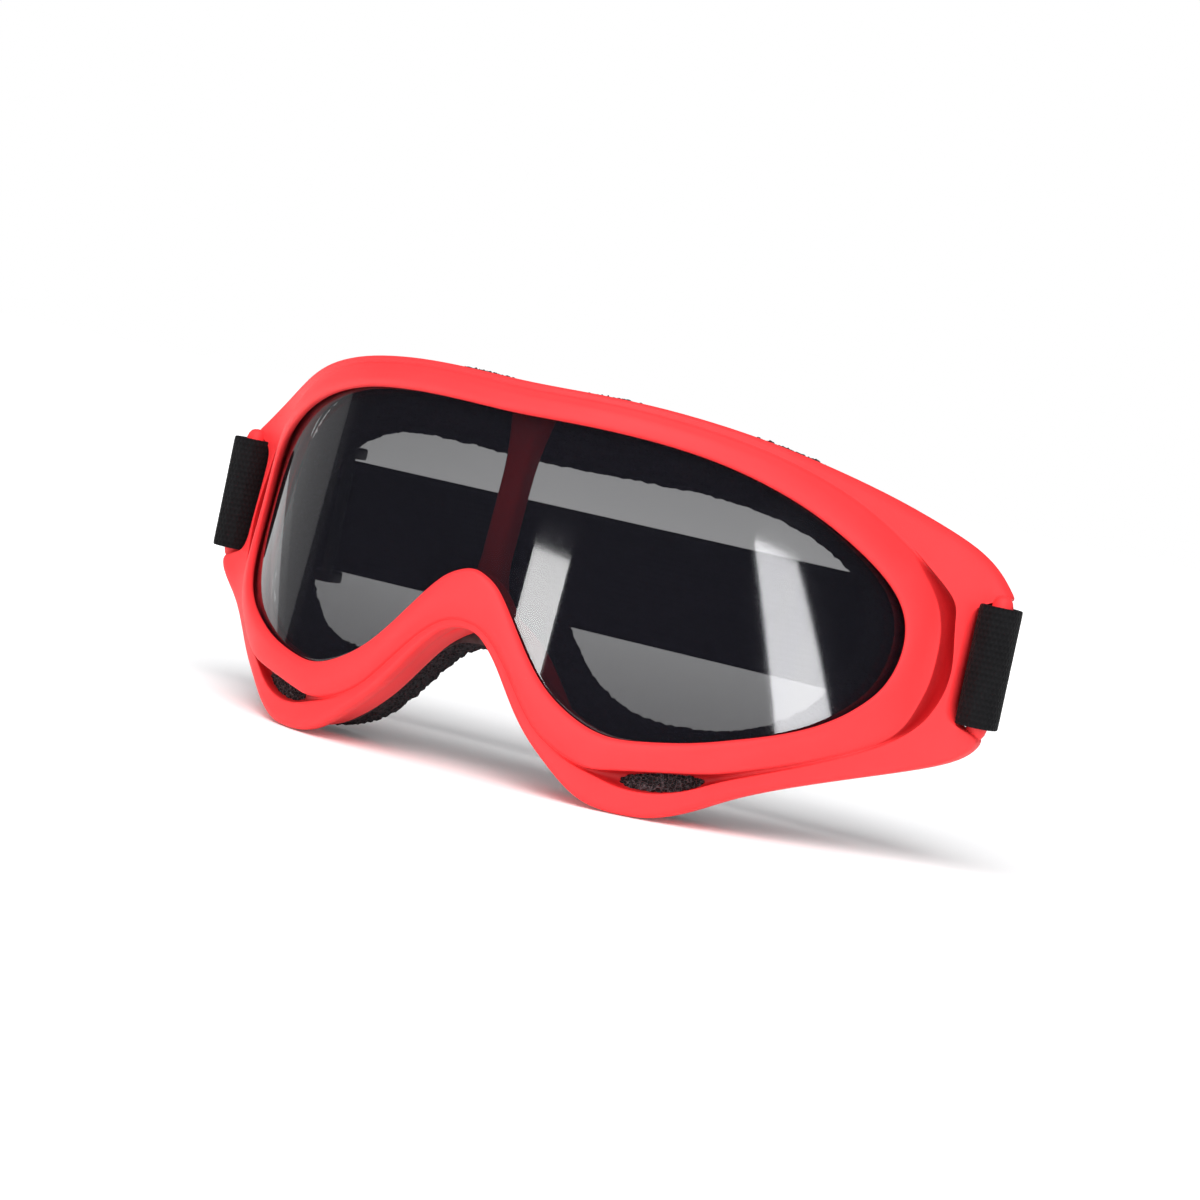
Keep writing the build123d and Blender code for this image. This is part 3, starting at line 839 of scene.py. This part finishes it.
def make_rail(z, side):
    """One side rail of the adjuster: a rounded plate, waisted at the back."""
    mesh = bmesh.new()
    bmesh.ops.create_circle(mesh, segments=48, radius=1.0, cap_ends=True)
    for vert in mesh.verts:
        turn = math.atan2(vert.co.y, vert.co.x)
        reach = (abs(math.cos(turn)) ** 5 + abs(math.sin(turn)) ** 5) ** -0.2
        x = 6.45 * reach * math.cos(turn)
        y = 4.25 * reach * math.sin(turn)
        waist = 1.0 - 0.16 * max(y / 4.25, 0.0) ** 2
        vert.co = place(SLIDER_X + x * waist, 65.05 + y, z)
    made = bmesh.ops.extrude_face_region(mesh, geom=mesh.faces[:])["geom"]
    top = [v for v in made if isinstance(v, bmesh.types.BMVert)]
    bmesh.ops.translate(mesh, vec=(0, 0, side * 2.6 * MM), verts=top)
    bmesh.ops.recalc_face_normals(mesh, faces=mesh.faces[:])
    rims = [e for e in mesh.edges if len(e.link_faces) == 2 and e.calc_face_angle(0.0) > 1.2]
    bmesh.ops.bevel(mesh, geom=rims, offset=0.5 * MM, offset_type="OFFSET", segments=3,
                    profile=0.5, affect="EDGES", material=-1)
    return mesh


def make_adjuster():
    """Two side rails, two outer bars before the band, a middle bar that carries the sewn end, and
    thumb ridges. The ridges run from rail to rail, so they also pass through the elastic.
    """
    low = STRAP_Z - 15.45
    high = STRAP_Z + 15.45
    meshes = [make_rail(low, 1), make_rail(high, -1)]
    for x in (-5.3, 5.3):
        meshes.append(rounded_box((2.4, 1.35, 28.0), (SLIDER_X + x, 61.5, STRAP_Z), 0.55))
    meshes.append(rounded_box((2.35, 1.35, 28.0), (SLIDER_X, 66.9, STRAP_Z), 0.55))
    for x in (-3.0, -1.5, 0.0, 1.5, 3.0):
        for y in (64.2, 65.8):
            meshes.append(rounded_box((0.5, 1.2, 31.2), (SLIDER_X + x, y, STRAP_Z), 0.2))
    return joined(meshes)


def make_stitches():
    """Two rows of lock stitches, each a short strand that dips into the elastic at both ends."""
    meshes = []
    for x in (SLIDER_X + 4.6, SLIDER_X + 6.0):
        for index in range(9):
            z = STRAP_Z + (index - 4) * 2.6
            strand = rounded_box((0.56, 0.44, 2.1), (x, 67.78, z), 0.2)
            middle = place(x, 67.78, z).z
            for vert in strand.verts:
                away = abs(vert.co.z - middle) / (1.05 * MM)
                vert.co.y -= 0.2 * MM * away ** 3
                vert.co.x += 0.12 * MM * (vert.co.z - middle) / (1.05 * MM)
            meshes.append(strand)
    return joined(meshes)


# ---------------------------------------------------------------- settings

class GogglesSizes(bpy.types.PropertyGroup):
    """Sizes that a user would change."""

    strap_thickness: bpy.props.FloatProperty(
        name="Strap thickness", description="Thickness of the woven elastic", default=1.5 * MM,
        min=0.5 * MM, max=1.6 * MM, unit="LENGTH")
    strap_width: bpy.props.FloatProperty(
        name="Strap width", description="Width of the woven elastic", default=25.0 * MM,
        min=15.0 * MM, max=25.0 * MM, unit="LENGTH")
    foam_roughness: bpy.props.FloatProperty(
        name="Foam roughness", description="How far the foam's cells stand out", default=0.6 * MM,
        min=0.0, max=1.0 * MM, unit="LENGTH")
    lens_tint: bpy.props.FloatProperty(
        name="Lens tint", description="How much of the view each face of the lens covers",
        default=0.55, min=0.0, max=0.8, subtype="FACTOR")


def colour_setting(name, description, default):
    """A colour that the panel shows."""
    return bpy.props.FloatVectorProperty(name=name, description=description, default=default,
                                         min=0.0, max=1.0, subtype="COLOR")


class GogglesColours(bpy.types.PropertyGroup):
    """Colours that a user would change."""

    frame: colour_setting("Frame", "Colour of the soft plastic frame", (0.90, 0.034, 0.038))
    lens: colour_setting("Lens", "Tint of the lens", (0.006, 0.006, 0.009))
    foam: colour_setting("Face foam", "Colour of the foam ring", (0.022, 0.021, 0.023))
    vent_foam: colour_setting("Vent foam", "Colour of the foam in the vents", (0.06, 0.05, 0.053))
    strap: colour_setting("Strap", "Colour of the elastic", (0.005, 0.005, 0.0055))
    slider: colour_setting("Adjusters", "Colour of the adjusters", (0.012, 0.012, 0.013))
    floor: colour_setting("Floor", "Colour of the floor", (0.93, 0.93, 0.93))


# ---------------------------------------------------------------- operators

class GOGGLES_OT_frame(bpy.types.Operator):
    """Build the frame moulding, its strap bars and its centre post"""

    bl_idname = "goggles.frame"
    bl_label = "Frame moulding"

    def execute(self, context):
        colours = context.scene.goggles_colours
        red = soft_red(colours.frame)
        mesh = mirror_half(extruded_strip(*frame_loops()))
        moulding = finished("frame_moulding", mesh, red)
        subdivide(moulding, 2)
        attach(moulding, "frame")
        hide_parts("frame")
        bars = finished("strap_bars", joined([make_bar(), flipped(make_bar())]), red)
        add_modifier(bars, "BEVEL", width=0.2 * MM, segments=2, limit_method="ANGLE")
        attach(bars, "frame")
        post = finished("centre_post", make_post(), red)
        # Painted shade: the whole centre post is darkened toward deep red, as it stands in shade inside the
        # frame.
        shadow = post.data.attributes.new("painted_recess_shade", "FLOAT", "POINT")
        shadow.data.foreach_set("value", [0.6] * len(post.data.vertices))
        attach(post, "frame")
        return {"FINISHED"}


class GOGGLES_OT_lens(bpy.types.Operator):
    """Build the bent smoke lens"""

    bl_idname = "goggles.lens"
    bl_label = "Lens"

    def execute(self, context):
        sizes = context.scene.goggles_sizes
        colours = context.scene.goggles_colours
        opening = smooth_line(APERTURE)
        far = max(range(len(opening)), key=lambda i: opening[i][0])
        brow = opening[:far + 1]
        below = opening[far:][::-1]
        lap = 2.2
        reach = opening[far][0] + lap

        mesh = bmesh.new()
        bmesh.ops.create_grid(mesh, x_segments=96, y_segments=24, size=1.0)
        for vert in mesh.verts:
            x = reach * math.sin(vert.co.x * math.pi / 2)
            narrow = abs(x) * opening[far][0] / reach
            taper = math.sqrt(max(1 - (abs(x) / reach) ** 8, 0.0))
            top = height_at(brow, narrow) + lap * taper
            low = height_at(below, narrow) - lap * taper
            z = low + (top - low) * (vert.co.y + 1) / 2
            vert.co = place(x, lens_depth(x, z, -0.2), z)
        bmesh.ops.remove_doubles(mesh, verts=mesh.verts[:], dist=0.00001)
        faced(mesh, 1, -1)
        sheet = finished("lens_sheet", mesh, smoke_sheet(colours.lens, sizes.lens_tint))
        add_modifier(sheet, "SOLIDIFY", thickness=1.7 * MM, offset=-1.0)
        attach(sheet, "frame")
        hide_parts("lens")
        return {"FINISHED"}


class GOGGLES_OT_face_foam(bpy.types.Operator):
    """Build the foam ring that seats on the face, and finish the tape under it"""

    bl_idname = "goggles.face_foam"
    bl_label = "Face foam"

    def execute(self, context):
        sizes = context.scene.goggles_sizes
        colours = context.scene.goggles_colours
        rows = []
        for outer, inner, cut in FOAM_ROWS:
            outer = Vector(outer)
            inner = Vector(inner)
            span = (inner - outer).length

            def point(share, depth, before):
                at = outer.lerp(inner, share * (1 - depth * cut / span))
                front = arc_depth(at.x, at.y, SEAT) + 0.35
                back = arc_depth(at.x, at.y, FOAM_BACK)
                return place(at.x, front + (back - front) * depth + before, at.y)

            rows.append([
                point(0.02, 0, 0), point(0.3, 0, 0), point(0.6, 0, 0), point(0.88, 0, 0.1),
                point(0.985, 0, 1.2), point(1.0, 0.35, 0), point(1.0, 0.7, 0), point(0.97, 1, -1.4),
                point(0.86, 1, -0.25), point(0.5, 1, 0), point(0.1, 1, -0.1), point(0.0, 1, -0.9),
                point(-0.02, 0.6, 0), point(0.0, 0.25, 0), point(0.02, 0, 0),
            ])
        mesh = mirror_half(extruded_strip(rows))
        ring = finished("face_foam_ring", mesh, face_foam_finish(colours.foam))
        subdivide(ring, 3)
        apply_all(ring)
        roughen(ring, 1.1, sizes.foam_roughness / MM, 1)
        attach(ring, "frame")
        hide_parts("face_foam")
        tape = frame["nodes"]["foam_tape"]
        tape.data.materials.clear()
        tape.data.materials.append(tape_finish((0.05, 0.05, 0.05)))
        return {"FINISHED"}


class GOGGLES_OT_vent_foams(bpy.types.Operator):
    """Build the open-cell pads in the lower vents and the strips in the upper vents"""

    bl_idname = "goggles.vent_foams"
    bl_label = "Vent foams"

    def execute(self, context):
        finish = vent_foam_finish(context.scene.goggles_colours.vent_foam)
        for side, name in ((1, "right"), (-1, "left")):
            pad = finished(f"lower_vent_pad_{name}", make_lower_pad(side), finish)
            finish_foam(pad, 1.2, 0.4, 2 + side, f"lower_vent_foam_{name}")
            strip = finished(f"top_vent_strip_{name}", joined([make_top_strip(side, span)
                                                               for span in TOP_VENTS]), finish)
            finish_foam(strip, 1.5, 0.5, 5 + side, f"top_vent_foam_{name}")
        return {"FINISHED"}


class GOGGLES_OT_straps(bpy.types.Operator):
    """Build the elastic: the band behind, the loops round the bars and the sewn ends"""

    bl_idname = "goggles.straps"
    bl_label = "Straps"

    def execute(self, context):
        sizes = context.scene.goggles_sizes
        elastic = elastic_finish(context.scene.goggles_colours.strap)
        width = sizes.strap_width / MM
        thickness = sizes.strap_thickness / MM
        path = [(BAND_END * (1 - i / 24), BAND_Y) for i in range(49)]
        band = finished("strap_band_elastic", ribbon(path, width, STRAP_Z), elastic)
        thicken(band, thickness, 1)
        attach(band, "strap")
        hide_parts("strap_band")
        for side, name in ((1, "right"), (-1, "left")):
            loop = ribbon(LOOP_PATH, width, STRAP_Z)
            if side < 0:
                flipped(loop)
            piece = finished(f"strap_loop_{name}_elastic", loop, elastic)
            thicken(piece, thickness)
            apply_all(piece)
            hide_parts(f"strap_loop_{name}")
            place(side * 86.0, 64.0, STRAP_Z)
            place(side * 80.2, 64.0, STRAP_Z)
            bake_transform(piece)
            end = ribbon(END_PATH, width - 0.2, STRAP_Z)
            if side < 0:
                flipped(end)
            piece = finished(f"strap_end_{name}_elastic", end, elastic)
            thicken(piece, min(thickness, 1.4))
            apply_all(piece)
            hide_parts(f"strap_end_{name}")
            place(side * BAND_END, 65.2, STRAP_Z)
            place(side * 75.6, 65.2, STRAP_Z)
            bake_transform(piece)
        return {"FINISHED"}


class GOGGLES_OT_adjusters(bpy.types.Operator):
    """Build the adjusters and the stitches that hold the folded ends"""

    bl_idname = "goggles.adjusters"
    bl_label = "Adjusters"

    def execute(self, context):
        plastic = black_plastic_finish(context.scene.goggles_colours.slider)
        thread = thread_finish((0.02, 0.02, 0.02))
        for side, name in ((1, "right"), (-1, "left")):
            made = make_adjuster()
            stitches = make_stitches()
            if side < 0:
                flipped(made)
                flipped(stitches)
            adjuster = finished(f"adjuster_{name}", made, plastic)
            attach(adjuster, f"slider_{name}")
            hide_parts(f"slider_{name}")
            seam = finished(f"stitches_{name}", stitches, thread)
            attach(seam, f"slider_{name}")
            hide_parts(f"end_stitching_{name}")
        return {"FINISHED"}


class GOGGLES_OT_stage(bpy.types.Operator):
    """Build the floor, the light and the camera"""

    bl_idname = "goggles.stage"
    bl_label = "Stage"

    def execute(self, context):
        colours = context.scene.goggles_colours
        mesh = bmesh.new()
        bmesh.ops.create_grid(mesh, x_segments=2, y_segments=2, size=8.0)
        floor = finished("floor", mesh, floor_finish(colours.floor))
        place_camera(context.scene)
        place_lights(context.scene)
        context.scene.view_settings.view_transform = "Standard"
        context.scene.view_settings.look = "None"
        return {"FINISHED"}


def toward(azimuth, elevation):
    """Unit direction from the goggles, in degrees right of the front and above the floor."""
    a, e = math.radians(azimuth), math.radians(elevation)
    return Vector((math.sin(a) * math.cos(e), -math.cos(a) * math.cos(e), math.sin(e)))


def place_camera(scene):
    """Front right view from just above the floor, rolled a little."""
    azimuth, elevation = 27.0024, 2.963
    roll = math.radians(11.8186)
    distance = 0.6865
    focal = 3440.0
    frame_width = 1200
    right = Vector((math.cos(math.radians(azimuth)), math.sin(math.radians(azimuth)), 0))
    back = toward(azimuth, elevation)
    up = back.cross(right)
    across = right * math.cos(roll) + up * math.sin(roll)
    upward = -right * math.sin(roll) + up * math.cos(roll)
    turn = Matrix((across, upward, back)).transposed()
    aim = Vector((-124.87, 30.07, -focal)).normalized()
    turn = turn @ aim.rotation_difference(Vector((0, 0, -1))).to_matrix()
    data = bpy.data.cameras.new("camera")
    data.sensor_width = 36.0
    data.lens = focal / frame_width * data.sensor_width
    data.clip_start = 0.01
    camera = bpy.data.objects.new("camera", data)
    scene.collection.objects.link(camera)
    camera.matrix_world = Matrix.Translation(place(0, 0, 0) + back * distance) @ turn.to_4x4()
    scene.camera = camera


def softbox(scene, name, azimuth, elevation, distance, size, power):
    """An area light that looks at the lens."""
    data = bpy.data.lights.new(name, "AREA")
    data.shape = "RECTANGLE"
    data.size, data.size_y = size
    data.energy = power
    light = bpy.data.objects.new(name, data)
    scene.collection.objects.link(light)
    way = toward(azimuth, elevation)
    light.location = place(0, LIGHT_TARGET_Y, 0) + way * distance
    light.rotation_euler = way.to_track_quat("Z", "Y").to_euler()
    return light


def side_card():
    """A slanting strip light to the right, seen only where the lens mirrors it."""
    corners = ((50.2, 9.2), (64.0, 7.6), (76.0, 1.0), (91.0, 0.4))
    mesh = bmesh.new()
    bmesh.ops.create_grid(mesh, x_segments=1, y_segments=1, size=1.0)
    for vert in mesh.verts:
        corner = corners[(2 if vert.co.y < 0 else 0) + (1 if vert.co.x > 0 else 0)]
        vert.co = place(0, LIGHT_TARGET_Y, 0) + toward(*corner) * STRIP_DISTANCE
    f = Finish("side_card_glow")
    grain = f.noise(f.coordinates(), 3.0, 2.0)
    glow = f.mix(grain, (0.94, 0.94, 1.0, 1.0), (1.0, 1.0, 1.0, 1.0))
    card = finished("side_card", mesh, f.finish(Base_Color=glow, Emission_Color=glow,
                                                Emission_Strength=13.0, Roughness=1.0))
    card.visible_camera = False
    card.visible_diffuse = False
    card.visible_shadow = False


def place_lights(scene):
    """Pale surroundings, two strip lights that the lens mirrors, and a large soft top light."""
    world = bpy.data.worlds.new("studio")
    world.use_nodes = True
    scene.world = world
    graph = Graph(world.node_tree)
    mirrored = graph.node("ShaderNodeLightPath", output="Is Glossy Ray")
    seen = graph.node("ShaderNodeLightPath", output="Is Camera Ray")
    around = graph.mix(mirrored, (0.42, 0.42, 0.43, 1), (0.05, 0.05, 0.055, 1))
    background = graph.tree.nodes["Background"]
    graph.put(background.inputs["Color"], graph.mix(seen, around, (1.0, 1.0, 1.0, 1)))
    graph.put(background.inputs["Strength"], 1.0)
    softbox(scene, "front_strip", -5.5, 6.1, STRIP_DISTANCE, (0.32, 0.22), 3.0)
    side_card()
    softbox(scene, "left_card", -118.0, 10.0, STRIP_DISTANCE, (1.5, 0.8), 1.7)
    top = softbox(scene, "top_light", 10.0, 58.0, 1.8, (1.6, 1.6), 27.0)
    fill = softbox(scene, "front_fill", 24.0, 30.0, 2.2, (1.5, 1.5), 27.0)
    for light in (top, fill):
        light.visible_glossy = False


class GOGGLES_PT_panel(bpy.types.Panel):
    """Lists the pieces of the goggles and their settings"""

    bl_label = "Goggles"
    bl_idname = "GOGGLES_PT_panel"
    bl_space_type = "VIEW_3D"
    bl_region_type = "UI"
    bl_category = "Goggles"

    def draw(self, context):
        layout = self.layout
        for group in (context.scene.goggles_sizes, context.scene.goggles_colours):
            for name in group.__annotations__:
                layout.prop(group, name)
        for operator in PIECES:
            layout.operator(operator.bl_idname)


PIECES = (
    GOGGLES_OT_frame,
    GOGGLES_OT_lens,
    GOGGLES_OT_face_foam,
    GOGGLES_OT_vent_foams,
    GOGGLES_OT_straps,
    GOGGLES_OT_adjusters,
    GOGGLES_OT_stage,
)
CLASSES = (GogglesSizes, GogglesColours) + PIECES + (GOGGLES_PT_panel,)


def register():
    for cls in CLASSES:
        bpy.utils.register_class(cls)
    bpy.types.Scene.goggles_sizes = bpy.props.PointerProperty(type=GogglesSizes)
    bpy.types.Scene.goggles_colours = bpy.props.PointerProperty(type=GogglesColours)


def unregister():
    del bpy.types.Scene.goggles_colours
    del bpy.types.Scene.goggles_sizes
    for cls in reversed(CLASSES):
        bpy.utils.unregister_class(cls)


def main():
    register()
    for operator in PIECES:
        category, name = operator.bl_idname.split(".")
        getattr(getattr(bpy.ops, category), name)()


if __name__ == "__main__":
    main()
